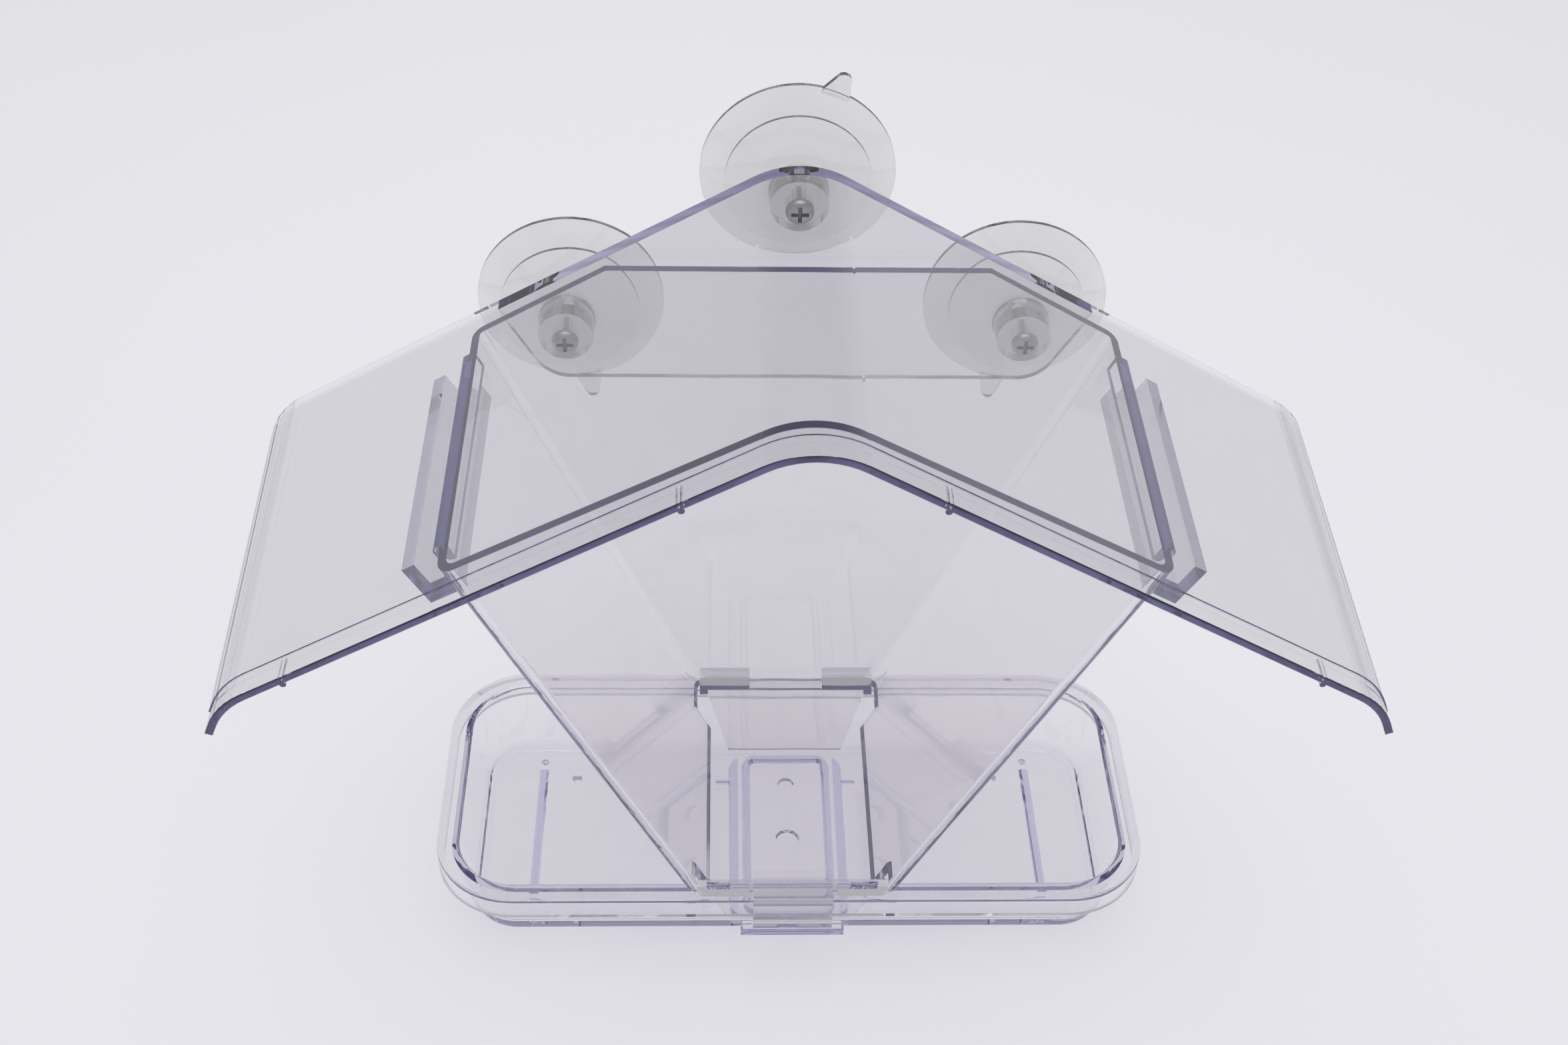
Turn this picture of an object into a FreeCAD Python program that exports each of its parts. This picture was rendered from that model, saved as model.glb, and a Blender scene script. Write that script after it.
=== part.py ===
# Window bird feeder: a clear roof on three suction cups, with a slide-out seed hopper and tray.
# X runs across the roof, Y towards the window and Z up; sizes are millimetres and degrees.
import FreeCAD, Part
import Sketcher
import math
import os
import re

# Driving dimensions: alias, value, what it measures
SIZES = (
    # Roof sheet
    ("roof_width", 241, "eave tip to eave tip at the front"),
    ("roof_rear_width", 246.4, "eave tip to eave tip at the rear edge"),
    ("roof_depth", 98, "front edge to the rear face of the back plate"),
    ("roof_wall", 2, "thickness of the roof sheet"),
    ("roof_pitch", 30, "slope of each half"),
    ("ridge_height", 167, "top of the ridge above the table"),
    ("ridge_radius", 20, "outer radius of the rounded ridge"),
    ("eave_radius", 18, "outer radius where an eave turns down"),
    ("eave_turn", 68, "slope of the eave's last stretch"),
    ("eave_lip", 2.5, "length of the eave's last stretch"),
    ("band_width", 6.1, "depth of the thinner band along the front edge"),
    ("band_step", 0.3, "how much thinner the band is"),
    ("front_round", 0.5, "radius along the sheet's front edges"),
    ("nib_radius", 0.7, "radius of the ribs under the front band"),
    ("nib_inner", 24.5, "inner ribs from the middle"),
    ("nib_outer", 102.7, "outer ribs from the middle"),
    # Rails under the roof
    ("rail_offset", 7.5, "outer face of a rail at the roof, outside the top of the hopper's side wall"),
    ("rail_wall", 3, "thickness of a rail's wall"),
    ("rail_slot", 5.6, "clear height between the roof and a rail's ledge"),
    ("ledge_wall", 4.4, "thickness of a rail's ledge"),
    ("ledge_gap", 0.3, "clearance between a ledge and the hopper's side wall"),
    ("rail_front", 17.5, "front end of the rails behind the roof's front edge"),
    ("rail_rear_gap", 16.25, "rear end of the rails in front of the back plate"),
    # Back plate
    ("plate_wall", 2.25, "thickness of the back plate"),
    ("plate_top_margin", 15.2, "back plate's edge under the roof, outside the lower cups' axes"),
    ("plate_foot_margin", 4.2, "back plate's lower corners outside the lower cups' axes"),
    ("plate_foot_drop", 10.28, "lower edge of the back plate below the lower cups' axes"),
    ("plate_corner", 9, "radius of the back plate's lower corners"),
    ("plate_bore", 3.2, "screw holes in the back plate"),
    ("cup_top_drop", 9, "top cup's axis below the underside of the ridge"),
    ("cup_low_drop", 16.4, "lower cups' axes below the underside of the roof above them"),
    ("cup_spread", 103.6, "distance between the lower cups' axes"),
    # Seed hopper
    ("hopper_wall", 2, "wall thickness"),
    ("hopper_gap", 1, "clearance between the hopper's top edge and the roof"),
    ("hopper_top_width", 144.4, "outside width at the top of the side walls"),
    ("hopper_foot_width", 42.8, "outside width at the bottom edge of the side walls"),
    ("hopper_setback", 12.2, "front wall behind the roof's front edge, at the top of the side walls"),
    ("wall_lean", 4.7, "how far the front and rear walls each lean in on the way down to the clips"),
    ("front_corner", 4.5, "outer radius of the front upright corners, and of the rear ones at the foot"),
    ("rear_corner", 3, "outer radius of the rear upright corners at the top of the side walls"),
    ("rear_cut", 24.3, "flat top of the rear wall below the line of the front peak"),
    ("head_gap", 0.3, "clearance between the rear wall and the screw heads"),
    ("bead_front", 21.5, "front end of the side beads behind the roof's front edge"),
    ("bead_rear_gap", 8.65, "rear end of the side beads in front of the rear wall"),
    ("bead_side_gap", 2.7, "clearance between a bead and its rail's wall"),
    ("bead_round", 1.2, "radius along a bead's outer edges"),
    ("slide_gap", 0.3, "clearance between a bead and its ledge"),
    # Clips at the foot of the hopper
    ("clip_gap", 0.3, "clearance between a clip and the top of the tray's rim"),
    ("clip_width", 44, "width of each clip"),
    ("clip_rise", 5.2, "height of a clip above the rim, up the inside of its wall"),
    ("web_wall", 3, "thickness of the tongue where it crosses the rim"),
    ("side_drop", 7.5, "how far the side walls reach down inside the tray"),
    ("side_foot_gap", 0.8, "clearance between that stretch and the legs, front and rear"),
    ("notch_width", 18.6, "notch in the middle of the rear clip"),
    ("bridge_wall", 1.2, "height of the clip left across that notch"),
    ("leg_wall", 1.6, "thickness of the legs inside the tray"),
    ("leg_gap", 0.4, "clearance between the clips and the tray's walls"),
    ("leg_top_width", 40, "width of a leg under the clip"),
    ("leg_foot_width", 29, "width of a leg at the tray's floor"),
    ("leg_foot_gap", 0.3, "clearance between a leg and the rounding at the tray's floor"),
    ("leg_round", 0.5, "radius along the lower edges of the legs"),
    ("tongue_width", 18.4, "width of the front clip's spring tongue"),
    ("tongue_wall", 2, "thickness of the tongue"),
    ("tongue_drop", 10.4, "height of the tongue outside the rim"),
    ("tongue_slot", 1, "slot each side of the tongue"),
    ("tongue_slot_rise", 4.2, "height of those slots"),
    ("pull_width", 24, "width of the pull at the end of the tongue"),
    ("pull_height", 2.8, "height of the pull"),
    ("pull_reach", 0.4, "how far the pull stands out from the tongue"),
    ("pull_round", 0.9, "radius along the lower edges of the pull"),
    # Seed tray
    ("tray_height", 20.5, "top of the rim above the table"),
    ("tray_wall", 2, "thickness of the sloping walls"),
    ("floor_wall", 2.2, "thickness of the floor"),
    ("rim_length", 168.2, "outside length of the rim"),
    ("rim_overhang", 0.97, "how far the rim stands out past the hopper's front and rear walls"),
    ("rim_width", 5.2, "width of the flat rim"),
    ("rim_wall", 2, "thickness of the flat rim"),
    ("skirt_drop", 6, "height of the rim's turned-down skirt"),
    ("skirt_wall", 1.6, "thickness of the skirt"),
    ("rim_corner", 14, "radius of the mouth's corners"),
    ("rim_round", 0.8, "radius along the rim's top edges"),
    ("end_slope", 3.9, "how far the end walls slope in between the rim and the floor"),
    ("flank_slope", 4.3, "how far the front and rear walls slope in between the rim and the floor"),
    ("floor_round", 2.5, "radius between the floor and the walls"),
    ("floor_corner", 10, "radius of the floor's corners"),
    ("foot_round", 1.5, "radius of the tray's bottom edge"),
    ("relief_slope", 28, "lean of the sides of the spreader, ribs, spurs and dimples, from upright"),
    ("island_base_width", 29.2, "width of the seed spreader's low base"),
    ("island_base_height", 1, "height of that base"),
    ("island_width", 23.6, "width of the seed spreader"),
    ("island_height", 2.2, "height of the seed spreader above the floor"),
    ("island_rim", 2.1, "width of the raised edge round the spreader"),
    ("island_dish", 1.2, "depth of the dish inside that edge"),
    ("island_gap", 0.6, "clearance between the spreader and the hopper's legs"),
    ("island_corner", 4, "radius of the spreader's corners"),
    ("dimple_depth", 0.7, "depth of the two round dimples in the dish"),
    ("dimple_front_bore", 6, "diameter of the front dimple"),
    ("dimple_front_lead", 3.2, "front dimple in front of the middle of the tray"),
    ("dimple_rear_bore", 4.2, "diameter of the rear dimple"),
    ("dimple_rear_setback", 14.9, "rear dimple behind the middle of the tray"),
    ("rib_spread", 124, "distance between the two floor ribs"),
    ("rib_width", 2.4, "width of a floor rib"),
    ("rib_height", 1, "height of the floor ribs and spurs"),
    ("rib_end_gap", 8, "ends of a floor rib from the edge of the floor"),
    ("spur_length", 3.4, "length of the two short spurs beside the spreader's base"),
    ("spur_width", 1.3, "width of a spur"),
    ("spur_setback", 16.3, "spurs behind the middle of the tray"),
    ("drain_bore", 2.5, "diameter of the drain holes"),
    ("drain_spread", 106.8, "distance between the drain holes"),
    ("drain_inset", 10.7, "drain holes from the rear edge of the floor"),
    ("corner_drain_bore", 2, "diameter of the drain holes behind the ribs"),
    ("corner_drain_inset", 5.2, "those holes from the rear edge of the floor"),
    # Suction cups
    ("cup_width", 44, "diameter of a cup's lip"),
    ("cup_length", 15.75, "stem's end to the lip's plane"),
    ("cup_gap", 0.25, "clearance between a stem and the back plate"),
    ("stem_width", 12.5, "diameter of the stem"),
    ("stem_length", 6.6, "stem's end to the start of the dome"),
    ("neck_round", 3, "radius between the stem and the dome"),
    ("ring_width", 33, "diameter of the step on the dome"),
    ("ring_height", 10.8, "stem's end to that step"),
    ("ring_step", 0.8, "height of that step"),
    ("lip_wall", 1, "thickness of the lip"),
    ("lip_land", 0.8, "flat on the lip that meets the glass"),
    ("hollow_depth", 3.7, "depth of the cup's hollow"),
    ("hollow_flat", 14, "diameter of the flat at the bottom of the hollow"),
    ("hollow_round", 20, "radius between that flat and the lip"),
    ("cup_bore_gap", 0.05, "running clearance between a screw and its cup"),
    ("cup_bore_spare", 1, "depth of a cup's bore past the screw's end"),
    ("tab_width", 6.2, "width of a release tab at the lip"),
    ("tab_end_width", 2.3, "width of its end"),
    ("tab_reach", 5.5, "how far a tab stands out past the lip"),
    ("tab_root", 1.5, "how far a tab is rooted inside the lip"),
    ("tab_wall", 1.3, "thickness of a tab"),
    ("tab_round", 1.4, "radius of a tab's corners"),
    ("tab_setback", 0.2, "root of a tab in front of the lip's plane"),
    ("tab_lean", 1.75, "how far a tab's end leans forward, off the glass"),
    ("tab_top_turn", 21, "direction of the top cup's tab, from straight up"),
    ("tab_low_turn", 10, "lean of the lower cups' tabs towards the middle, from straight down"),
    # Screws
    ("head_width", 6.1, "diameter of a screw's head"),
    ("head_height", 1.8, "height of a screw's head"),
    ("head_round", 1.4, "radius of the head's edge"),
    ("shank_width", 3, "diameter of a screw's shank"),
    ("shank_length", 11.5, "length of a screw below its head"),
    ("shank_point", 2, "length of a screw's point"),
    ("recess_width", 3.8, "span of the cross recess"),
    ("recess_slot", 0.9, "width of each arm of the cross recess"),
    ("recess_depth", 1, "depth of the cross recess"),
)

# Places that follow from the driving dimensions, measured back from the roof's front edge and up
# from the table
FOLLOWS = {
    "apex_height": "ridge_height + ridge_radius * (1 / cos(roof_pitch) - 1)",
    "eave_run": "eave_radius * tan((eave_turn - roof_pitch) / 2) + eave_lip",
    "eave_mitre": "1 + cos(eave_turn - roof_pitch)",
    "under_apex": "apex_height - roof_wall / cos(roof_pitch)",
    "middle_apex": "apex_height - roof_wall / 2 / cos(roof_pitch)",
    "plate_front": "roof_depth - plate_wall",
    "rail_foot": "hopper_top_width / 2 + rail_offset",
    "rail_rear": "plate_front - rail_rear_gap",
    "cup_top_height": "ridge_height - roof_wall - cup_top_drop",
    "cup_low_height": "under_apex - cup_spread / 2 * tan(roof_pitch) - cup_low_drop",
    "plate_foot": "cup_low_height - plate_foot_drop",
    "hopper_apex": "under_apex - hopper_gap / cos(roof_pitch)",
    "rear_top": "hopper_apex - rear_cut",
    "shoulder_height": "hopper_apex - hopper_top_width / 2 * tan(roof_pitch)",
    "hopper_foot": "tray_height + clip_gap",
    "side_foot": "hopper_foot - side_drop",
    "side_run": "(hopper_top_width - hopper_foot_width) / 2 / (shoulder_height - side_foot)",
    "lean_run": "wall_lean / (shoulder_height - hopper_foot)",
    "round_run": "(rear_corner - front_corner) / (shoulder_height - side_foot)",
    "side_wall": "hopper_wall * sqrt(1 + side_run * side_run)",
    "lean_wall": "hopper_wall * sqrt(1 + lean_run * lean_run)",
    "hopper_rear": "plate_front - head_height - head_gap",
    "feeder_middle": "(hopper_setback + hopper_rear) / 2",
    "foot_face": "(hopper_rear - hopper_setback) / 2 - wall_lean",
    "bead_rear": "hopper_rear - bead_rear_gap",
    "clip_top": "hopper_foot + clip_rise",
    "web_top": "hopper_foot + web_wall",
    "rim_depth": "2 * (foot_face + rim_overhang)",
    "floor_depth": "rim_depth - 2 * (rim_width + flank_slope)",
    "floor_length": "rim_length - 2 * (rim_width + end_slope)",
    "tongue_face": "rim_depth / 2 + leg_gap",
    "tongue_foot": "web_top - tongue_drop",
    "leg_foot": "floor_wall + floor_round / 2 + leg_foot_gap",
    "cavity_rise": "tray_height - floor_wall",
    "end_run": "end_slope / cavity_rise",
    "flank_run": "flank_slope / cavity_rise",
    "corner_run": "(rim_corner - floor_corner) / cavity_rise",
    "flank_stretch": "sqrt(1 + flank_run * flank_run)",
    "end_stretch": "sqrt(1 + end_run * end_run)",
    "island_half_depth": "floor_depth / 2 - (leg_gap + leg_wall) * flank_stretch - island_gap",
    "cup_bore": "shank_width + 2 * cup_bore_gap",
    "cup_bore_depth": "shank_length - plate_wall - cup_gap + cup_bore_spare",
    "hollow_floor": "cup_length - hollow_depth",
    "overall_depth": "roof_depth + cup_gap + cup_length",
}

WORD = re.compile(r"[a-z]+(?:_[a-z]+)+")
ORIGIN = (-1, 1)
POINT = 1
START = 1
END = 2
CENTRE = 3
FULL_TURN = 360
HALF_TURN = 180
SAME_PLACE = 0.001

doc = FreeCAD.newDocument("window_bird_feeder")
sheet = doc.addObject("Spreadsheet::Sheet", "sizes")
for row, (alias, value, meaning) in enumerate(SIZES, start=1):
    sheet.set(f"A{row}", alias)
    sheet.set(f"B{row}", str(value))
    sheet.setAlias(f"B{row}", alias)
    sheet.set(f"C{row}", meaning)
doc.recompute()


def formula(text):
    """An expression in sheet cells, with every place that follows written out."""
    def spell(match):
        word = match.group(0)
        if word in FOLLOWS:
            return "(" + formula(FOLLOWS[word]) + ")"
        return "sizes." + word
    return WORD.sub(spell, text)


def opposite(text):
    return f"-({text})"


def new_body(label, x="0", y="0", z="0", turn=None):
    """A sub-part; y counts back from the roof's front edge, turn is about the Y axis."""
    body = doc.addObject("PartDesign::Body", label)
    body.Label = label
    if turn:
        body.Placement.Rotation = FreeCAD.Rotation(FreeCAD.Vector(0, 1, 0), size_of(body, turn))
        body.setExpression("Placement.Rotation.Angle", formula(turn))
    body.setExpression("Placement.Base.x", formula(x))
    body.setExpression("Placement.Base.y", formula(f"{y} - overall_depth / 2"))
    body.setExpression("Placement.Base.z", formula(z))
    return body


def new_sketch(body, name, role, offset="0"):
    """A sketch on one of the body's own planes, moved along that plane's normal."""
    sketch = body.newObject("Sketcher::SketchObject", name)
    plane = next(item for item in body.Origin.OriginFeatures if item.Role == role)
    sketch.AttachmentSupport = [(plane, "")]
    sketch.MapMode = "FlatFace"
    sketch.setExpression("AttachmentOffset.Base.z", formula(offset))
    return sketch


def upright_sketch(body, name, back="0"):
    """A sketch in X and Z, a distance back from the front edge. Its normal points forward."""
    return new_sketch(body, name, "XZ_Plane", opposite(back))


def level_sketch(body, name, height="0"):
    """A sketch in X and Y at a height. Its normal points up."""
    return new_sketch(body, name, "XY_Plane", height)


def size_of(item, text):
    return float(item.evalExpression(formula(text)))


def bind(sketch, constraint, text):
    index = sketch.addConstraint(constraint)
    sketch.setExpression(f"Constraints[{index}]", formula(text))


def pin_point(sketch, curve, end, place):
    """Ties a point of a curve to its place, given as two formulas."""
    across, along = place
    bind(sketch, Sketcher.Constraint("DistanceX", *ORIGIN, curve, end, size_of(sketch, across)), across)
    bind(sketch, Sketcher.Constraint("DistanceY", *ORIGIN, curve, end, size_of(sketch, along)), along)


def draw_circle(sketch, across, along, diameter):
    centre = FreeCAD.Vector(size_of(sketch, across), size_of(sketch, along), 0)
    radius = f"({diameter}) / 2"
    circle = Part.Circle(centre, FreeCAD.Vector(0, 0, 1), size_of(sketch, radius))
    curve = sketch.addGeometry(circle, False)
    pin_point(sketch, curve, CENTRE, (across, along))
    bind(sketch, Sketcher.Constraint("Radius", curve, size_of(sketch, radius)), radius)


def draw_outline(sketch, corners):
    """A closed outline; each corner is (across, along) or (across, along, radius), as formulas."""
    spots = [FreeCAD.Vector(size_of(sketch, c[0]), size_of(sketch, c[1]), 0) for c in corners]
    count = len(corners)
    arcs = {}
    leaves = list(spots)
    enters = list(spots)
    for index, corner in enumerate(corners):
        if len(corner) == 2:
            continue
        spot = spots[index]
        radius = size_of(sketch, corner[2])
        before = (spots[index - 1] - spot).normalize()
        after = (spots[(index + 1) % count] - spot).normalize()
        half = before.getAngle(after) / 2
        enters[index] = spot + before * (radius / math.tan(half))
        leaves[index] = spot + after * (radius / math.tan(half))
        centre = spot + (before + after).normalize() * (radius / math.sin(half))
        left_turn = after.cross(before).z > 0
        first, last = (enters, leaves) if left_turn else (leaves, enters)
        angles = [math.atan2(p[index].y - centre.y, p[index].x - centre.x) for p in (first, last)]
        circle = Part.Circle(centre, FreeCAD.Vector(0, 0, 1), radius)
        curve = sketch.addGeometry(Part.ArcOfCircle(circle, *angles), False)
        ends = (START, END) if left_turn else (END, START)
        arcs[index] = (curve, ends)
    lines = []
    for index in range(count):
        segment = Part.LineSegment(leaves[index], enters[(index + 1) % count])
        lines.append(sketch.addGeometry(segment, False))
    for index, corner in enumerate(corners):
        line_in = lines[index - 1]
        line_out = lines[index]
        if index not in arcs:
            sketch.addConstraint(Sketcher.Constraint("Coincident", line_in, END, line_out, START))
            pin_point(sketch, line_out, START, corner)
            continue
        curve, (near, far) = arcs[index]
        sharp = sketch.addGeometry(Part.Point(spots[index]), True)
        sketch.addConstraint(Sketcher.Constraint("Tangent", line_in, END, curve, near))
        sketch.addConstraint(Sketcher.Constraint("Tangent", curve, far, line_out, START))
        sketch.addConstraint(Sketcher.Constraint("PointOnObject", sharp, POINT, line_in))
        sketch.addConstraint(Sketcher.Constraint("PointOnObject", sharp, POINT, line_out))
        pin_point(sketch, sharp, POINT, corner[:2])
        bind(sketch, Sketcher.Constraint("Radius", curve, size_of(sketch, corner[2])), corner[2])


def mirrored(corners):
    """The same corners on the other side of the middle."""
    return [(opposite(corner[0]),) + tuple(corner[1:]) for corner in corners]


def rounded_box(left, right, front, rear, front_radius, rear_radius):
    return [
        (left, front, front_radius),
        (right, front, front_radius),
        (right, rear, rear_radius),
        (left, rear, rear_radius),
    ]


def plain_box(left, right, low, high):
    return [(left, low), (right, low), (right, high), (left, high)]


def extrude(body, kind, name, sketch, length, both_ways=False, backwards=False, lean=None):
    """A Pad along the sketch's normal, or a Pocket against it; its sides can lean in."""
    feature = body.newObject("PartDesign::" + kind, name)
    feature.Profile = sketch
    feature.setExpression("Length", formula(length))
    if both_ways:
        feature.SideType = "Symmetric"
    feature.Reversed = backwards
    if lean:
        feature.setExpression("TaperAngle", formula(opposite(lean)))
    return feature


def loft(body, kind, name, first, last):
    feature = body.newObject("PartDesign::" + kind, name)
    feature.Profile = first
    feature.Sections = [last]
    feature.Ruled = True
    return feature


def revolve(body, name, sketch):
    """A full turn about the body's Y axis."""
    feature = body.newObject("PartDesign::Revolution", name)
    feature.Profile = sketch
    feature.ReferenceAxis = (sketch, ["V_Axis"])
    feature.Angle = FULL_TURN
    return feature


def round_edges(body, name, radius, chosen):
    """Rounds the edges that a test chooses by their box, apart from the rims of holes."""
    doc.recompute()
    base = body.Tip
    edges = [f"Edge{number}" for number, edge in enumerate(base.Shape.Edges, start=1)
             if chosen(edge.BoundBox) and not edge.isClosed()]
    fillet = body.newObject("PartDesign::Fillet", name)
    fillet.Base = (base, edges)
    fillet.setExpression("Radius", formula(radius))


def level_edges(body, height):
    """A test for edges that lie level at a height."""
    level = size_of(body, height)
    return lambda box: max(abs(box.ZMax - level), abs(box.ZMin - level)) < SAME_PLACE


def front_edges(box):
    """A test for edges in the plane of the roof's front edge."""
    return max(abs(box.YMax), abs(box.YMin)) < SAME_PLACE


# Roof

def roof_edge(inset, half):
    """Right half of the roof's section from the ridge to the eave tip, at a depth in the sheet."""
    slope = f"({inset}) / eave_mitre"
    place = f"({half} - eave_run * cos(eave_turn))"
    height = f"(apex_height - {place} * tan(roof_pitch))"
    return [
        ("0", f"apex_height - ({inset}) / cos(roof_pitch)", f"ridge_radius - ({inset})"),
        (f"{place} - {slope} * (sin(roof_pitch) + sin(eave_turn))",
         f"{height} - {slope} * (cos(roof_pitch) + cos(eave_turn))",
         f"eave_radius - ({inset})"),
        (f"{half} - ({inset}) * sin(eave_turn)",
         f"{height} - eave_run * sin(eave_turn) - ({inset}) * cos(eave_turn)"),
    ]


def roof_section(body, name, back, top_inset, half):
    """The whole sheet at a distance back, from a depth below its top to its underside."""
    top = roof_edge(top_inset, half)
    under = roof_edge("roof_wall", half)
    sketch = upright_sketch(body, name, back)
    draw_outline(sketch, top + under[::-1] + mirrored(under[1:]) + mirrored(top[1:])[::-1])
    return sketch


def under_roof(inward, down):
    """A point beside a rail: inward along the slope from the rail's foot, and square down from it."""
    across = f"rail_foot - ({inward}) * cos(roof_pitch) - ({down}) * sin(roof_pitch)"
    height = (f"under_apex - rail_foot * tan(roof_pitch) + ({inward}) * sin(roof_pitch)"
              f" - ({down}) * cos(roof_pitch)")
    return across, height


def to_hopper(down, inset):
    """How far in from a rail's foot the hopper's side wall is, at a depth below the roof and in the wall."""
    across, height = under_roof("0", down)
    wall = f"hopper_top_width / 2 + side_run * ({height} - shoulder_height) - ({inset})"
    return f"(({across}) - ({wall})) / (cos(roof_pitch) + side_run * sin(roof_pitch))"


def build_roof():
    body = new_body("roof")
    rear = roof_section(body, "rear_section", "roof_depth", "0", "roof_rear_width / 2")
    front = roof_section(body, "front_section", "band_width", "0", "roof_width / 2")
    loft(body, "AdditiveLoft", "sheet", rear, front)
    sketch = roof_section(body, "band_section", "band_width", "band_step", "roof_width / 2")
    extrude(body, "Pad", "front_band", sketch, "band_width")
    round_edges(body, "front_fillet", "front_round", front_edges)
    sketch = upright_sketch(body, "nib_section", "band_width")
    for place in ("nib_inner", "nib_outer"):
        for across in (place, opposite(place)):
            draw_circle(sketch, across, f"under_apex - {place} * tan(roof_pitch)", "nib_radius * 2")
    extrude(body, "Pad", "front_nibs", sketch, "band_width")
    sketch = upright_sketch(body, "rail_section", "rail_rear")
    root = opposite("roof_wall / 2")
    ledge_end = to_hopper("rail_slot + ledge_wall", "0") + " - ledge_gap"
    rail = [
        under_roof("0", root),
        under_roof("0", "rail_slot + ledge_wall"),
        under_roof(ledge_end, "rail_slot + ledge_wall"),
        under_roof(ledge_end, "rail_slot"),
        under_roof("rail_wall", "rail_slot"),
        under_roof("rail_wall", root),
    ]
    draw_outline(sketch, rail)
    draw_outline(sketch, mirrored(rail))
    extrude(body, "Pad", "rails", sketch, "rail_rear - rail_front")
    sketch = upright_sketch(body, "plate_outline", "roof_depth")
    plate_edge = "cup_spread / 2 + plate_top_margin"
    foot = [
        ("cup_spread / 2 + plate_foot_margin", "plate_foot", "plate_corner"),
        (plate_edge, f"middle_apex - ({plate_edge}) * tan(roof_pitch)"),
    ]
    ridge = [("0", "middle_apex", "ridge_radius - roof_wall / 2")]
    draw_outline(sketch, foot + ridge + mirrored(foot)[::-1])
    extrude(body, "Pad", "back_plate", sketch, "plate_wall")
    sketch = upright_sketch(body, "screw_holes", "plate_front")
    for across, height in CUP_PLACES.values():
        draw_circle(sketch, across, height, "plate_bore")
    extrude(body, "Pocket", "screw_bores", sketch, "plate_wall")
    return body


# Seed hopper

def hopper_walls(body, name, height, inset_side, inset_lean, radius_inset):
    """A level section of the hopper, at a height and a depth into its walls."""
    half = f"hopper_top_width / 2 + side_run * ({height} - shoulder_height) - {inset_side}"
    front = f"hopper_setback - lean_run * ({height} - shoulder_height) + {inset_lean}"
    rear = f"hopper_rear + lean_run * ({height} - shoulder_height) - {inset_lean}"
    rear_radius = f"rear_corner + round_run * ({height} - shoulder_height) - {radius_inset}"
    sketch = level_sketch(body, name, height)
    draw_outline(sketch, rounded_box(opposite(half), half, front, rear,
                                     f"front_corner - {radius_inset}", rear_radius))
    return sketch


def leg_face(height, depth):
    """A leg's face from the feeder's middle, following the tray's sloping wall."""
    return (f"floor_depth / 2 + flank_run * ({height} - floor_wall)"
            f" - (leg_gap + {depth}) * flank_stretch")


def clip_section():
    """A wall's foot on the rim and the leg inside the tray: distance from the middle, height."""
    return [
        ("foot_face - lean_wall / 2", "hopper_foot"),
        (leg_face("hopper_foot", "0"), "hopper_foot"),
        (leg_face("leg_foot", "0"), "leg_foot"),
        (leg_face("leg_foot", "leg_wall"), "leg_foot"),
        (leg_face("hopper_foot", "leg_wall"), "hopper_foot"),
        ("foot_face + lean_run * clip_rise - lean_wall", "clip_top"),
        ("foot_face + lean_run * clip_rise - lean_wall / 2", "clip_top"),
    ]


def placed(section, side):
    """A section at the front (-) or rear (+) of the feeder's middle."""
    return [(f"feeder_middle {side} ({distance})", height) for distance, height in section]


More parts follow.
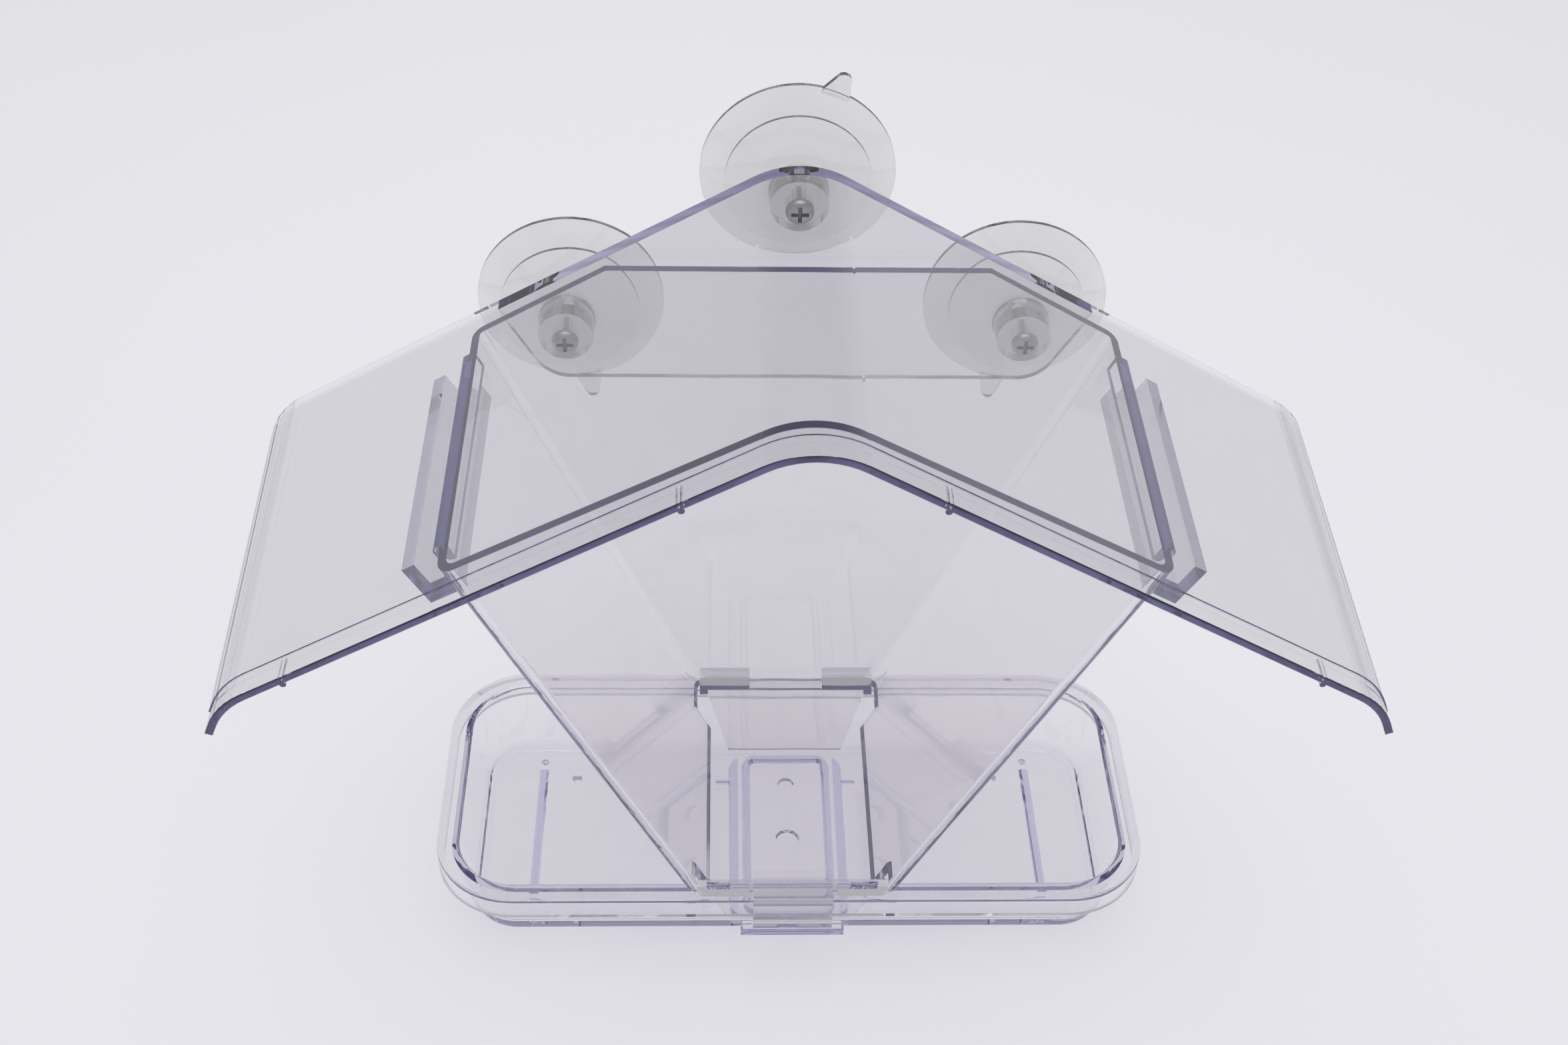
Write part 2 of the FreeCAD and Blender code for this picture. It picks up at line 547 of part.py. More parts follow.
def build_hopper():
    body = new_body("seed_hopper")
    lower = hopper_walls(body, "outer_foot", "side_foot", "0", "0", "0")
    upper = hopper_walls(body, "outer_top", "hopper_apex", "0", "0", "0")
    loft(body, "AdditiveLoft", "outer_walls", lower, upper)
    inset = ("side_wall", "lean_wall", "hopper_wall")
    lower = hopper_walls(body, "inner_foot", "side_foot - side_drop", *inset)
    upper = hopper_walls(body, "inner_top", "hopper_apex + hopper_gap", *inset)
    loft(body, "SubtractiveLoft", "inner_walls", lower, upper)

    sketch = upright_sketch(body, "roof_line")
    edge = "roof_width / 2"
    fall = f"hopper_apex - {edge} * tan(roof_pitch)"
    above = "hopper_apex + roof_wall + hopper_gap"
    draw_outline(sketch, [
        (opposite(edge), fall),
        ("0", "hopper_apex", "ridge_radius - roof_wall - hopper_gap"),
        (edge, fall),
        (edge, above),
        (opposite(edge), above),
    ])
    extrude(body, "Pocket", "top_edge", sketch, "roof_depth")
    sketch = upright_sketch(body, "rear_line", "feeder_middle")
    draw_outline(sketch, plain_box(opposite(edge), edge, "rear_top", above))
    extrude(body, "Pocket", "rear_edge", sketch, "roof_depth - feeder_middle")
    sketch = new_sketch(body, "rim_clearance", "YZ_Plane")
    side_end = leg_face("leg_foot", "leg_wall") + " - side_foot_gap"
    over_rim = plain_box(side_end, "roof_depth / 2", "side_foot - side_drop", "hopper_foot")
    draw_outline(sketch, placed(over_rim, "-"))
    draw_outline(sketch, placed(over_rim, "+"))
    extrude(body, "Pocket", "rim_relief", sketch, "hopper_top_width", both_ways=True)

    sketch = upright_sketch(body, "bead_section", "bead_rear")
    low = "rail_slot - slide_gap"
    bead = [
        under_roof("rail_wall + bead_side_gap", "hopper_gap") + ("bead_round",),
        under_roof("rail_wall + bead_side_gap", low) + ("bead_round",),
        under_roof(to_hopper(low, "side_wall / 2"), low),
        under_roof(to_hopper("hopper_gap", "side_wall / 2"), "hopper_gap"),
    ]
    draw_outline(sketch, bead)
    draw_outline(sketch, mirrored(bead))
    extrude(body, "Pad", "side_beads", sketch, "bead_rear - bead_front")

    sketch = new_sketch(body, "clip_section", "YZ_Plane")
    for side in ("-", "+"):
        draw_outline(sketch, placed(clip_section(), side))
    extrude(body, "Pad", "clips", sketch, "clip_width", both_ways=True)
    beside_leg = [
        ("leg_foot_width / 2", "leg_foot"),
        ("clip_width", "leg_foot"),
        ("clip_width", "hopper_foot"),
        ("leg_top_width / 2", "hopper_foot"),
    ]
    for end, start in (("front", "feeder_middle - foot_face"),
                       ("rear", f"feeder_middle + {side_end}")):
        sketch = upright_sketch(body, end + "_leg_sides", start)
        draw_outline(sketch, beside_leg)
        draw_outline(sketch, mirrored(beside_leg))
        extrude(body, "Pocket", end + "_leg_taper", sketch, f"foot_face - ({side_end})")
    round_edges(body, "leg_fillet", "leg_round", level_edges(body, "leg_foot"))

    sketch = new_sketch(body, "tongue_section", "YZ_Plane")
    outside = "tongue_face + tongue_wall"
    root = "foot_face - lean_wall / 2"
    draw_outline(sketch, placed([
        (root, "web_top"),
        (outside, "web_top"),
        (outside, "tongue_foot"),
        ("tongue_face", "tongue_foot"),
        ("tongue_face", "hopper_foot"),
        (root, "hopper_foot"),
    ], "-"))
    extrude(body, "Pad", "tongue", sketch, "tongue_width", both_ways=True)
    sketch = new_sketch(body, "pull_section", "YZ_Plane")
    pull = plain_box("tongue_face", f"{outside} + pull_reach", "tongue_foot - pull_height", "tongue_foot")
    draw_outline(sketch, placed(pull, "-"))
    extrude(body, "Pad", "pull", sketch, "pull_width", both_ways=True)
    round_edges(body, "pull_fillet", "pull_round", level_edges(body, "tongue_foot - pull_height"))
    sketch = upright_sketch(body, "slot_outline", "feeder_middle - foot_face")
    slot = plain_box("tongue_width / 2", "tongue_width / 2 + tongue_slot", "hopper_foot",
                     "hopper_foot + tongue_slot_rise")
    draw_outline(sketch, slot)
    draw_outline(sketch, mirrored(slot))
    extrude(body, "Pocket", "tongue_slots", sketch, "lean_wall")
    start = leg_face("hopper_foot", "leg_wall")
    sketch = upright_sketch(body, "notch_outline", f"feeder_middle + {start}")
    half = "notch_width / 2"
    draw_outline(sketch, plain_box(opposite(half), half, "hopper_foot + bridge_wall", "clip_top"))
    extrude(body, "Pocket", "rear_notch", sketch,
            f"foot_face + lean_run * clip_rise - lean_wall - ({start})")
    return body


# Seed tray

def tray_box(half_length, half_depth, radius):
    return rounded_box(opposite(half_length), half_length, f"feeder_middle - ({half_depth})",
                       f"feeder_middle + ({half_depth})", radius, radius)


def tray_bowl(body, name, height, wall):
    """A level section of the bowl, at a height and a thickness outside its cavity."""
    rise = f"({height} - floor_wall)"
    sketch = level_sketch(body, name, height)
    draw_outline(sketch, tray_box(
        f"floor_length / 2 + end_run * {rise} + {wall} * end_stretch",
        f"floor_depth / 2 + flank_run * {rise} + {wall} * flank_stretch",
        f"floor_corner + corner_run * {rise} + {wall}"))
    return sketch


def build_tray():
    body = new_body("seed_tray")
    skirt_foot = "tray_height - skirt_drop"
    sketch = level_sketch(body, "rim_outline", skirt_foot)
    draw_outline(sketch, tray_box("rim_length / 2", "rim_depth / 2", "rim_corner + rim_width"))
    extrude(body, "Pad", "rim", sketch, "skirt_drop")
    sketch = level_sketch(body, "skirt_inside", skirt_foot)
    draw_outline(sketch, tray_box("rim_length / 2 - skirt_wall", "rim_depth / 2 - skirt_wall",
                                  "rim_corner + rim_width - skirt_wall"))
    extrude(body, "Pocket", "skirt", sketch, "skirt_drop - rim_wall", backwards=True)
    lower = tray_bowl(body, "bowl_foot", "0", "tray_wall")
    upper = tray_bowl(body, "bowl_top", "tray_height", "tray_wall")
    loft(body, "AdditiveLoft", "bowl", lower, upper)
    lower = tray_bowl(body, "cavity_floor", "floor_wall", "0")
    upper = tray_bowl(body, "cavity_mouth", "tray_height + rim_wall", "0")
    loft(body, "SubtractiveLoft", "cavity", lower, upper)
    round_edges(body, "floor_fillet", "floor_round", level_edges(body, "floor_wall"))

    for name, width, height in (("island_base", "island_base_width", "island_base_height"),
                                ("island", "island_width", "island_height")):
        sketch = level_sketch(body, name + "_outline", "floor_wall")
        draw_outline(sketch, tray_box(width + " / 2", "island_half_depth", "island_corner"))
        extrude(body, "Pad", name, sketch, height, lean="relief_slope")
    sketch = level_sketch(body, "dish_outline", "floor_wall + island_height")
    draw_outline(sketch, tray_box("island_width / 2 - island_rim", "island_half_depth - island_rim",
                                  "island_corner - island_rim"))
    extrude(body, "Pocket", "island_dish", sketch, "island_dish", lean="relief_slope")
    sketch = level_sketch(body, "dimple_outline", "floor_wall + island_height - island_dish")
    draw_circle(sketch, "0", "feeder_middle - dimple_front_lead", "dimple_front_bore")
    draw_circle(sketch, "0", "feeder_middle + dimple_rear_setback", "dimple_rear_bore")
    extrude(body, "Pocket", "dimples", sketch, "dimple_depth", lean="relief_slope")
    sketch = level_sketch(body, "rib_outline", "floor_wall")
    half = "(floor_depth / 2 - rib_end_gap)"
    rib = plain_box("(rib_spread - rib_width) / 2", "(rib_spread + rib_width) / 2",
                    f"feeder_middle - {half}", f"feeder_middle + {half}")
    spur = plain_box("island_width / 2", "island_base_width / 2 + spur_length",
                     "feeder_middle + spur_setback - spur_width / 2",
                     "feeder_middle + spur_setback + spur_width / 2")
    for outline in (rib, spur):
        draw_outline(sketch, outline)
        draw_outline(sketch, mirrored(outline))
    extrude(body, "Pad", "floor_ribs", sketch, "rib_height", lean="relief_slope")
    sketch = level_sketch(body, "drain_holes", "floor_wall")
    for across in ("drain_spread / 2", opposite("drain_spread / 2")):
        draw_circle(sketch, across, "feeder_middle + floor_depth / 2 - drain_inset", "drain_bore")
    for across in ("rib_spread / 2", opposite("rib_spread / 2")):
        place = "feeder_middle + floor_depth / 2 - corner_drain_inset"
        draw_circle(sketch, across, place, "corner_drain_bore")
    extrude(body, "Pocket", "drains", sketch, "floor_wall")
    round_edges(body, "rim_fillet", "rim_round", level_edges(body, "tray_height"))
    round_edges(body, "foot_fillet", "foot_round", level_edges(body, "0"))
    return body


# Suction cups and their screws

CUP_PLACES = {
    "top": ("0", "cup_top_height"),
    "left": ("-cup_spread / 2", "cup_low_height"),
    "right": ("cup_spread / 2", "cup_low_height"),
}
TAB_TURNS = {
    "top": "tab_top_turn",
    "left": f"{HALF_TURN} - tab_low_turn",
    "right": f"{HALF_TURN} + tab_low_turn",
}


def build_cup(side):
    """A cup on its own axis, from the end of its stem towards the glass."""
    across, height = CUP_PLACES[side]
    body = new_body("suction_cup_" + side, across, "roof_depth + cup_gap", height, TAB_TURNS[side])
    sketch = level_sketch(body, "cup_section")
    draw_outline(sketch, [
        ("cup_bore / 2", "0"),
        ("stem_width / 2", "0"),
        ("stem_width / 2", "stem_length", "neck_round"),
        ("ring_width / 2", "ring_height"),
        ("ring_width / 2", "ring_height + ring_step"),
        ("cup_width / 2", "cup_length - lip_wall"),
        ("cup_width / 2", "cup_length"),
        ("cup_width / 2 - lip_land", "cup_length"),
        ("hollow_flat / 2", "hollow_floor", "hollow_round"),
        ("0", "hollow_floor"),
        ("0", "cup_bore_depth"),
        ("cup_bore / 2", "cup_bore_depth"),
    ])
    revolve(body, "cup", sketch)
    sketch = new_sketch(body, "tab_section", "YZ_Plane")
    rear = "cup_length - tab_setback"
    root = "cup_width / 2 - tab_root"
    end = "cup_width / 2 + tab_reach"
    draw_outline(sketch, [
        (f"{rear} - tab_wall", root),
        (rear, root),
        (f"{rear} - tab_lean", end),
        (f"{rear} - tab_lean - tab_wall", end),
    ])
    extrude(body, "Pad", "release_tab", sketch, "tab_width", both_ways=True)
    sketch = upright_sketch(body, "tab_outline", f"{rear} - tab_lean - tab_wall")
    beside_tab = [
        ("tab_width", "cup_width / 2 + tab_reach * 2"),
        ("tab_width", "cup_width / 2"),
        ("tab_width / 2", "cup_width / 2"),
        ("tab_end_width / 2", end, "tab_round"),
    ]
    draw_outline(sketch, beside_tab + mirrored(beside_tab)[::-1])
    extrude(body, "Pocket", "tab_taper", sketch, "tab_lean + tab_wall")
    return body


def build_screw(side):
    """A screw from the front of the back plate into a cup's stem."""
    across, height = CUP_PLACES[side]
    body = new_body("cup_screw_" + side, across, "plate_front", height)
    sketch = level_sketch(body, "screw_section")
    draw_outline(sketch, [
        ("0", "-head_height"),
        ("head_width / 2", "-head_height", "head_round"),
        ("head_width / 2", "0"),
        ("shank_width / 2", "0"),
        ("shank_width / 2", "shank_length - shank_point"),
        ("0", "shank_length"),
    ])
    revolve(body, "screw", sketch)
    sketch = upright_sketch(body, "cross_recess", "-head_height")
    tip = "recess_width / 2"
    side_face = "recess_slot / 2"
    arm = [(side_face, tip), (side_face, side_face), (tip, side_face)]
    upper = arm[::-1] + mirrored(arm)
    lower = [(x, opposite(z)) for x, z in upper]
    draw_outline(sketch, upper + lower[::-1])
    extrude(body, "Pocket", "recess", sketch, "recess_depth")
    return body


# Checks on the finished document

def check_document(bodies):
    for item in doc.Objects:
        if "Invalid" in item.State or "Error" in item.State:
            raise RuntimeError(f"{item.Name} failed: {item.State}")
    for body in bodies:
        shape = body.Shape
        if shape.isNull() or not shape.isValid() or len(shape.Solids) != 1:
            raise RuntimeError(f"{body.Label} is not one valid solid")
        volume = 0
        for feature in body.Group:
            if not feature.isDerivedFrom("PartDesign::Feature"):
                continue
            cuts = feature.isDerivedFrom("PartDesign::Pocket") or "Subtractive" in feature.TypeId
            grows = feature.Shape.Volume > volume
            if cuts == grows and "Fillet" not in feature.TypeId:
                raise RuntimeError(f"{body.Label}: {feature.Name} works the wrong way")
            volume = feature.Shape.Volume


pieces = [build_roof(), build_hopper(), build_tray()]
pieces += [build_cup(side) for side in CUP_PLACES]
pieces += [build_screw(side) for side in CUP_PLACES]
doc.recompute()
check_document(pieces)
os.makedirs("parts", exist_ok=True)
for piece in pieces:
    piece.Shape.exportStep(f"parts/{piece.Label}.step")
    box = piece.Shape.BoundBox
    print(f"{piece.Label}: {piece.Shape.Volume:.0f} mm3, x {box.XMin:.2f} {box.XMax:.2f},"
          f" y {box.YMin:.2f} {box.YMax:.2f}, z {box.ZMin:.2f} {box.ZMax:.2f}")
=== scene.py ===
import math

import bpy
from mathutils import Matrix, Vector


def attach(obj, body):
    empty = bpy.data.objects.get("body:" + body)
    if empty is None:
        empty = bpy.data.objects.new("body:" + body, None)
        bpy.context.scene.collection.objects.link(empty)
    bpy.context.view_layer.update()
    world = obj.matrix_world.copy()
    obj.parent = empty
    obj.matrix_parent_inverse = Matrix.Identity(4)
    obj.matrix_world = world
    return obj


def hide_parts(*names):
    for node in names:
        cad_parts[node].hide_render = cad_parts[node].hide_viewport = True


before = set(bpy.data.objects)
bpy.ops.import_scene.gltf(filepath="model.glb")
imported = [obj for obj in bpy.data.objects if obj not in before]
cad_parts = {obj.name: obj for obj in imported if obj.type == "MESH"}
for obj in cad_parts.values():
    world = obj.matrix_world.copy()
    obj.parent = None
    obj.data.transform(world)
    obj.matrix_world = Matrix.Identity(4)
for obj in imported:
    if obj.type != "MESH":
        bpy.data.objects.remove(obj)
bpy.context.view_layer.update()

# Sizes in metres.
MM = 0.001
MERGE = 0.002 * MM

# The photograph's viewpoint.
CAMERA_PLACE = Vector((-0.0185, -0.3345, 0.3942))
CAMERA_PITCH = 0.719056
CAMERA_YAW = 0.0461543
CAMERA_ROLL = -0.0332880
CAMERA_LENS = 46.258
SENSOR_WIDTH = 36.0

# A pull at the end of the hopper's tongue, painted violet as painted shade for light's long path through the
# thick plastic: its rear side and its top.
PULL_REAR = -43.6 * MM
PULL_TOP = 13.8 * MM
PULL_FADE = 0.4 * MM
PULL_PAINTED_SHADE = (0.40, 0.36, 0.78, 1.0)

# The hopper's side walls: their spread at the table, how much they spread with height, and their painted
# light, a lighter colour than the hopper's other walls.
SIDE_FOOT = 12.8 * MM
SIDE_RUN = 0.4552
SIDE_FADE = 0.5 * MM
SIDE_PAINTED_LIGHT = (0.97, 0.965, 0.968, 1.0)

# The hopper's top edge, under the roof, painted dark navy as painted shade: the height where its two slopes
# would meet, their pitch, and the radius, centre, half width and lowest rise above that centre of the round
# between them.
EDGE_APEX = 166.63 * MM
EDGE_PITCH = 30.0
EDGE_SLOPE = math.tan(math.radians(EDGE_PITCH))
EDGE_RADIUS = 17.0 * MM
EDGE_CENTRE = 147.0 * MM
EDGE_HALF = 8.6 * MM
EDGE_RISE = 8.5 * MM
EDGE_FADE = 0.2 * MM
EDGE_FULL = 0.1 * MM
EDGE_PAINTED_SHADE = (0.02, 0.018, 0.14, 1.0)

# The roof's back plate: its front face, and its painted light, a lighter colour than the rest of the roof.
PLATE_FRONT = 38.7 * MM
PLATE_FADE = 0.2 * MM
PLATE_PAINTED_LIGHT = (0.985, 0.98, 0.985, 1.0)

# The relief in the tray's floor, painted violet as painted shade: its middle, its reach each way, the
# spreader's half width, and heights above which the spreader's edge and the lower ribs begin.
RELIEF_MIDDLE = -4.07 * MM
RELIEF_DEPTH = 24.9 * MM
RELIEF_LENGTH = 66.0 * MM
SPREADER_HALF = 12.1 * MM
SPREADER_EDGE = 3.4 * MM
RIB_FOOT = 2.5 * MM
RELIEF_FADE = 0.2 * MM
RELIEF_PAINTED_SHADE = (0.58, 0.55, 0.80, 1.0)

# A screw's head: its front face, and how far its recess, which gets painted shade, reaches from the axis and
# from that face.
HEAD_FRONT = 36.95 * MM
RECESS_REACH = 2.0 * MM
RECESS_DEPTH = 1.05 * MM
RECESS_EDGE = 0.1 * MM

# Sockets of a Mix node that mixes colours, and of a Mix Shader node.
MIX_FACTOR = 0
MIX_FIRST = 6
MIX_SECOND = 7
MIX_COLOUR = 2
SHADER_FACTOR = 0
SHADER_FIRST = 1
SHADER_SECOND = 2

# The second material of a screw: darker zinc, painted shade in its recess.
RECESS_SLOT = 1

# Noise, where nothing else is said.
PLAIN_DETAIL = 2.0
PLAIN_ROUGH = 0.5

# Waves left by the flow of the plastic.
FLOW_STRETCH = (1.0, 0.6, 1.0)
FLOW_SCALE = 46.0
FLOW_HEIGHT = 0.6 * MM

# Fine scuffs in two directions.
ALONG_STRETCH = (1.0, 26.0, 9.0)
ALONG_TURN = (0.2, 0.1, 0.7)
ALONG_SCALE = 34.0
ALONG_SPAN = (0.66, 0.76)
ACROSS_STRETCH = (24.0, 1.0, 8.0)
ACROSS_TURN = (0.1, 0.3, -0.4)
ACROSS_SCALE = 30.0
ACROSS_SPAN = (0.68, 0.78)
SCUFF_DETAIL = 3.0
SCUFF_ROUGH = 0.6
SCUFF_DULL = 0.05

# Soft smears.
SMEAR_SCALE = 70.0
SMEAR_DETAIL = 4.0
SMEAR_ROUGH = 0.55
SMEAR_SPAN = (0.45, 0.75)
SMEAR_DULL = 0.03
SMEAR_DIM = 0.985

# Clear plastic.
PLASTIC_BENDING = 1.50
PLASTIC_GLOSS = 0.012
PLASTIC_WAVES = 0.06

# Zinc plating: dull patches and turning marks.
PATCH_SCALE = 900.0
PATCH_DETAIL = 3.0
PATCH_DULL = 0.2
MARK_STRETCH = (1.0, 14.0, 1.0)
MARK_SCALE = 700.0
MARK_STRENGTH = 0.25
MARK_HEIGHT = 0.05 * MM
ZINC_GLOSS = 0.24

# The studio.
FLOOR_SPAN = 6.0
FLOOR_GAP = 0.4 * MM
LAMP_SPAN = 1.0
LAMP_PLACE = Vector((0.0, 0.10, 1.5))
LAMP_AIM = Vector((0.0, 0.0, 0.08))
LAMP_POWER = 12.6
HORIZON_PALE = (0.80, 0.795, 0.825, 1.0)
CEILING_GREY = (0.47, 0.47, 0.485, 1.0)
HORIZON_TOP = 0.22
CEILING_LOW = 0.48
FLOOR_PALE = (0.83, 0.82, 0.85, 1.0)
FLOOR_WORN = (0.80, 0.79, 0.82, 1.0)
FLOOR_GRAIN = 3.0
FLOOR_DETAIL = 3.0
FLOOR_ROUGH = 0.7
FLOOR_UNEVEN = 0.1
FLOOR_SHEEN = 0.2
LIGHT_BOUNCES = 96


class Number:
    """A number that varies over a surface. Arithmetic on it adds Math nodes to its finish."""

    def __init__(self, finish, socket):
        self.finish = finish
        self.socket = socket

    def math(self, operation, *parts):
        return self.finish.number("ShaderNodeMath", "Value", {"operation": operation}, dict(enumerate(parts)))

    def __add__(self, other):
        return self.math("ADD", self, other)

    def __radd__(self, other):
        return self.math("ADD", other, self)

    def __sub__(self, other):
        return self.math("SUBTRACT", self, other)

    def __mul__(self, other):
        return self.math("MULTIPLY", self, other)

    def at_most(self, other):
        return self.math("MINIMUM", self, other)

    def root(self):
        return self.math("SQRT", self)

    def size(self):
        return self.math("ABSOLUTE", self)


class Finish:
    """The nodes of one material, or of the world."""

    def __init__(self, owner):
        owner.use_nodes = True
        self.owner = owner
        self.tree = owner.node_tree
        self.tree.nodes.clear()

    def node(self, kind, settings=None, sockets=None):
        """Adds a node, sets it up and fills its sockets with values or links."""
        made = self.tree.nodes.new(kind)
        for name, value in (settings or {}).items():
            setattr(made, name, value)
        for name, value in (sockets or {}).items():
            if isinstance(value, Number):
                self.tree.links.new(value.socket, made.inputs[name])
            elif isinstance(value, bpy.types.NodeSocket):
                self.tree.links.new(value, made.inputs[name])
            else:
                made.inputs[name].default_value = value
        return made

    def number(self, kind, output, settings=None, sockets=None):
        return Number(self, self.node(kind, settings, sockets).outputs[output])

    def place(self, scale=(1.0, 1.0, 1.0), turn=(0.0, 0.0, 0.0)):
        """The point on the piece, stretched and turned for a pattern."""
        coords = self.node("ShaderNodeTexCoord").outputs["Object"]
        settings = {"Vector": coords, "Scale": scale, "Rotation": turn}
        return self.node("ShaderNodeMapping", None, settings).outputs["Vector"]

    def axes(self):
        """The point on the piece as three numbers."""
        made = self.node("ShaderNodeSeparateXYZ", None, {"Vector": self.place()})
        return [Number(self, socket) for socket in made.outputs]

    def noise(self, point, scale, detail=PLAIN_DETAIL, roughness=PLAIN_ROUGH):
        sockets = {"Vector": point, "Scale": scale, "Detail": detail, "Roughness": roughness}
        return self.number("ShaderNodeTexNoise", "Fac", None, sockets)

    def ramp(self, value, low, high):
        """Zero below low, one above high."""
        sockets = {"Value": value, "From Min": low, "From Max": high}
        return self.number("ShaderNodeMapRange", "Result", {"clamp": True}, sockets)

    def mixed(self, factor, first, second):
        """A colour between two."""
        sockets = {MIX_FACTOR: factor, MIX_FIRST: first, MIX_SECOND: second}
        return self.node("ShaderNodeMix", {"data_type": "RGBA"}, sockets).outputs[MIX_COLOUR]

    def surface(self, shader, volume=None):
        sockets = {"Surface": shader}
        if volume is not None:
            sockets["Volume"] = volume
        self.node("ShaderNodeOutputMaterial", None, sockets)
        return self.owner


def pull_shade_zone(finish):
    """One on the pull, zero on the rest of the hopper: where its violet painted shade goes."""
    _, y, z = finish.axes()
    in_front = finish.ramp(y, PULL_REAR, PULL_REAR - PULL_FADE)
    below = finish.ramp(z, PULL_TOP, PULL_TOP - PULL_FADE)
    return in_front * below


def side_light_zone(finish):
    """One on the hopper's sloping side walls, zero on the rest of it: where their painted light goes."""
    x, _, z = finish.axes()
    return finish.ramp(x.size() - z * SIDE_RUN, SIDE_FOOT - SIDE_FADE, SIDE_FOOT)


def edge_shade_zone(finish):
    """One on the hopper's top edge under the roof, zero on the rest of it: where its navy painted shade goes.
    """
    x, _, z = finish.axes()
    slopes = finish.ramp(z + x.size() * EDGE_SLOPE, EDGE_APEX - EDGE_FADE, EDGE_APEX - EDGE_FULL)
    rise = z - EDGE_CENTRE
    reach = (x * x + rise * rise).root()
    outside = finish.ramp(reach, EDGE_RADIUS - EDGE_FADE, EDGE_RADIUS - EDGE_FULL)
    middle = finish.ramp(x.size(), EDGE_HALF, EDGE_HALF - EDGE_FADE)
    above = finish.ramp(rise, EDGE_RISE, EDGE_RISE + EDGE_FADE)
    return (slopes + outside * middle * above).at_most(1.0)


def plate_light_zone(finish):
    """One on the back plate, zero on the rest of the roof: where its painted light goes."""
    _, y, _ = finish.axes()
    return finish.ramp(y, PLATE_FRONT - PLATE_FADE, PLATE_FRONT)


def relief_shade_zone(finish):
    """One on the raised edge of the spreader, the ribs and the spurs, zero on the rest of the tray: where
    violet painted shade goes.
    """
    x, y, z = finish.axes()
    along = finish.ramp((y - RELIEF_MIDDLE).size(), RELIEF_DEPTH, RELIEF_DEPTH - RELIEF_FADE)
    across = finish.ramp(x.size(), RELIEF_LENGTH, RELIEF_LENGTH - RELIEF_FADE)
    beside = finish.ramp(x.size(), SPREADER_HALF, SPREADER_HALF + RELIEF_FADE)
    edge = finish.ramp(z, SPREADER_EDGE - RELIEF_FADE, SPREADER_EDGE)
    low = finish.ramp(z, RIB_FOOT - RELIEF_FADE, RIB_FOOT) * beside
    return (edge + low).at_most(1.0) * along * across


def clear_finish(name, colour, tint, depth, shade, bending=PLASTIC_BENDING, gloss=PLASTIC_GLOSS,
                 waviness=PLASTIC_WAVES, zones=()):
    """Moulded see-through plastic: wavy, finely scuffed, and darker the further light goes through it."""
    finish = Finish(bpy.data.materials.new(name))
    flow = finish.noise(finish.place(FLOW_STRETCH), FLOW_SCALE)
    along = finish.noise(finish.place(ALONG_STRETCH, ALONG_TURN), ALONG_SCALE, SCUFF_DETAIL, SCUFF_ROUGH)
    across = finish.noise(finish.place(ACROSS_STRETCH, ACROSS_TURN), ACROSS_SCALE, SCUFF_DETAIL, SCUFF_ROUGH)
    scuffs = finish.ramp(along, *ALONG_SPAN) + finish.ramp(across, *ACROSS_SPAN)
    clouds = finish.noise(finish.place(), SMEAR_SCALE, SMEAR_DETAIL, SMEAR_ROUGH)
    smears = finish.ramp(clouds, *SMEAR_SPAN)
    roughness = gloss + scuffs.at_most(1.0) * SCUFF_DULL + smears * SMEAR_DULL
    bump = finish.node("ShaderNodeBump", None, {
        "Strength": waviness, "Distance": FLOW_HEIGHT, "Height": flow})
    base = finish.mixed(smears, colour, [SMEAR_DIM * part for part in colour[:3]] + [1.0])
    # The zones paint colours over parts of the piece: painted light on some, painted shade on others.
    for zone, zone_colour in zones:
        base = finish.mixed(zone(finish), base, zone_colour)
    body = finish.node("ShaderNodeBsdfPrincipled", None, {
        "Base Color": base,
        "Roughness": roughness,
        "Normal": bump.outputs["Normal"],
        "IOR": bending,
        "Transmission Weight": 1.0})
    light = finish.node("ShaderNodeBsdfTransparent", None, {"Color": shade})
    rays = finish.node("ShaderNodeLightPath").outputs
    dimmed = finish.node("ShaderNodeMixShader", None, {
        SHADER_FACTOR: rays["Is Diffuse Ray"],
        SHADER_FIRST: body.outputs["BSDF"],
        SHADER_SECOND: light.outputs["BSDF"]})
    shader = finish.node("ShaderNodeMixShader", None, {
        SHADER_FACTOR: rays["Is Shadow Ray"],
        SHADER_FIRST: dimmed.outputs["Shader"],
        SHADER_SECOND: light.outputs["BSDF"]})
    volume = finish.node("ShaderNodeVolumeAbsorption", None, {"Color": tint, "Density": depth})
    return finish.surface(shader.outputs["Shader"], volume.outputs["Volume"])


def zinc_finish(name, bright, dull):
    """Zinc plated steel with fine turning marks and dull patches."""
    finish = Finish(bpy.data.materials.new(name))
    patches = finish.noise(finish.place(), PATCH_SCALE, PATCH_DETAIL)
    marks = finish.noise(finish.place(MARK_STRETCH), MARK_SCALE)
    bump = finish.node("ShaderNodeBump", None, {
        "Strength": MARK_STRENGTH, "Distance": MARK_HEIGHT, "Height": marks})
    shader = finish.node("ShaderNodeBsdfPrincipled", None, {
        "Base Color": finish.mixed(patches, bright, dull),
        "Roughness": ZINC_GLOSS + patches * PATCH_DULL,
        "Metallic": 1.0,
        "Normal": bump.outputs["Normal"]})
    return finish.surface(shader.outputs["BSDF"])


def floor_finish():
    """Pale matt paper."""
    finish = Finish(bpy.data.materials.new("pale_floor"))
    grain = finish.noise(finish.place(), FLOOR_GRAIN, FLOOR_DETAIL)
    shader = finish.node("ShaderNodeBsdfPrincipled", None, {
        "Base Color": finish.mixed(grain, FLOOR_PALE, FLOOR_WORN),
        "Roughness": FLOOR_ROUGH + grain * FLOOR_UNEVEN,
        "Specular IOR Level": FLOOR_SHEEN})
    return finish.surface(shader.outputs["BSDF"])


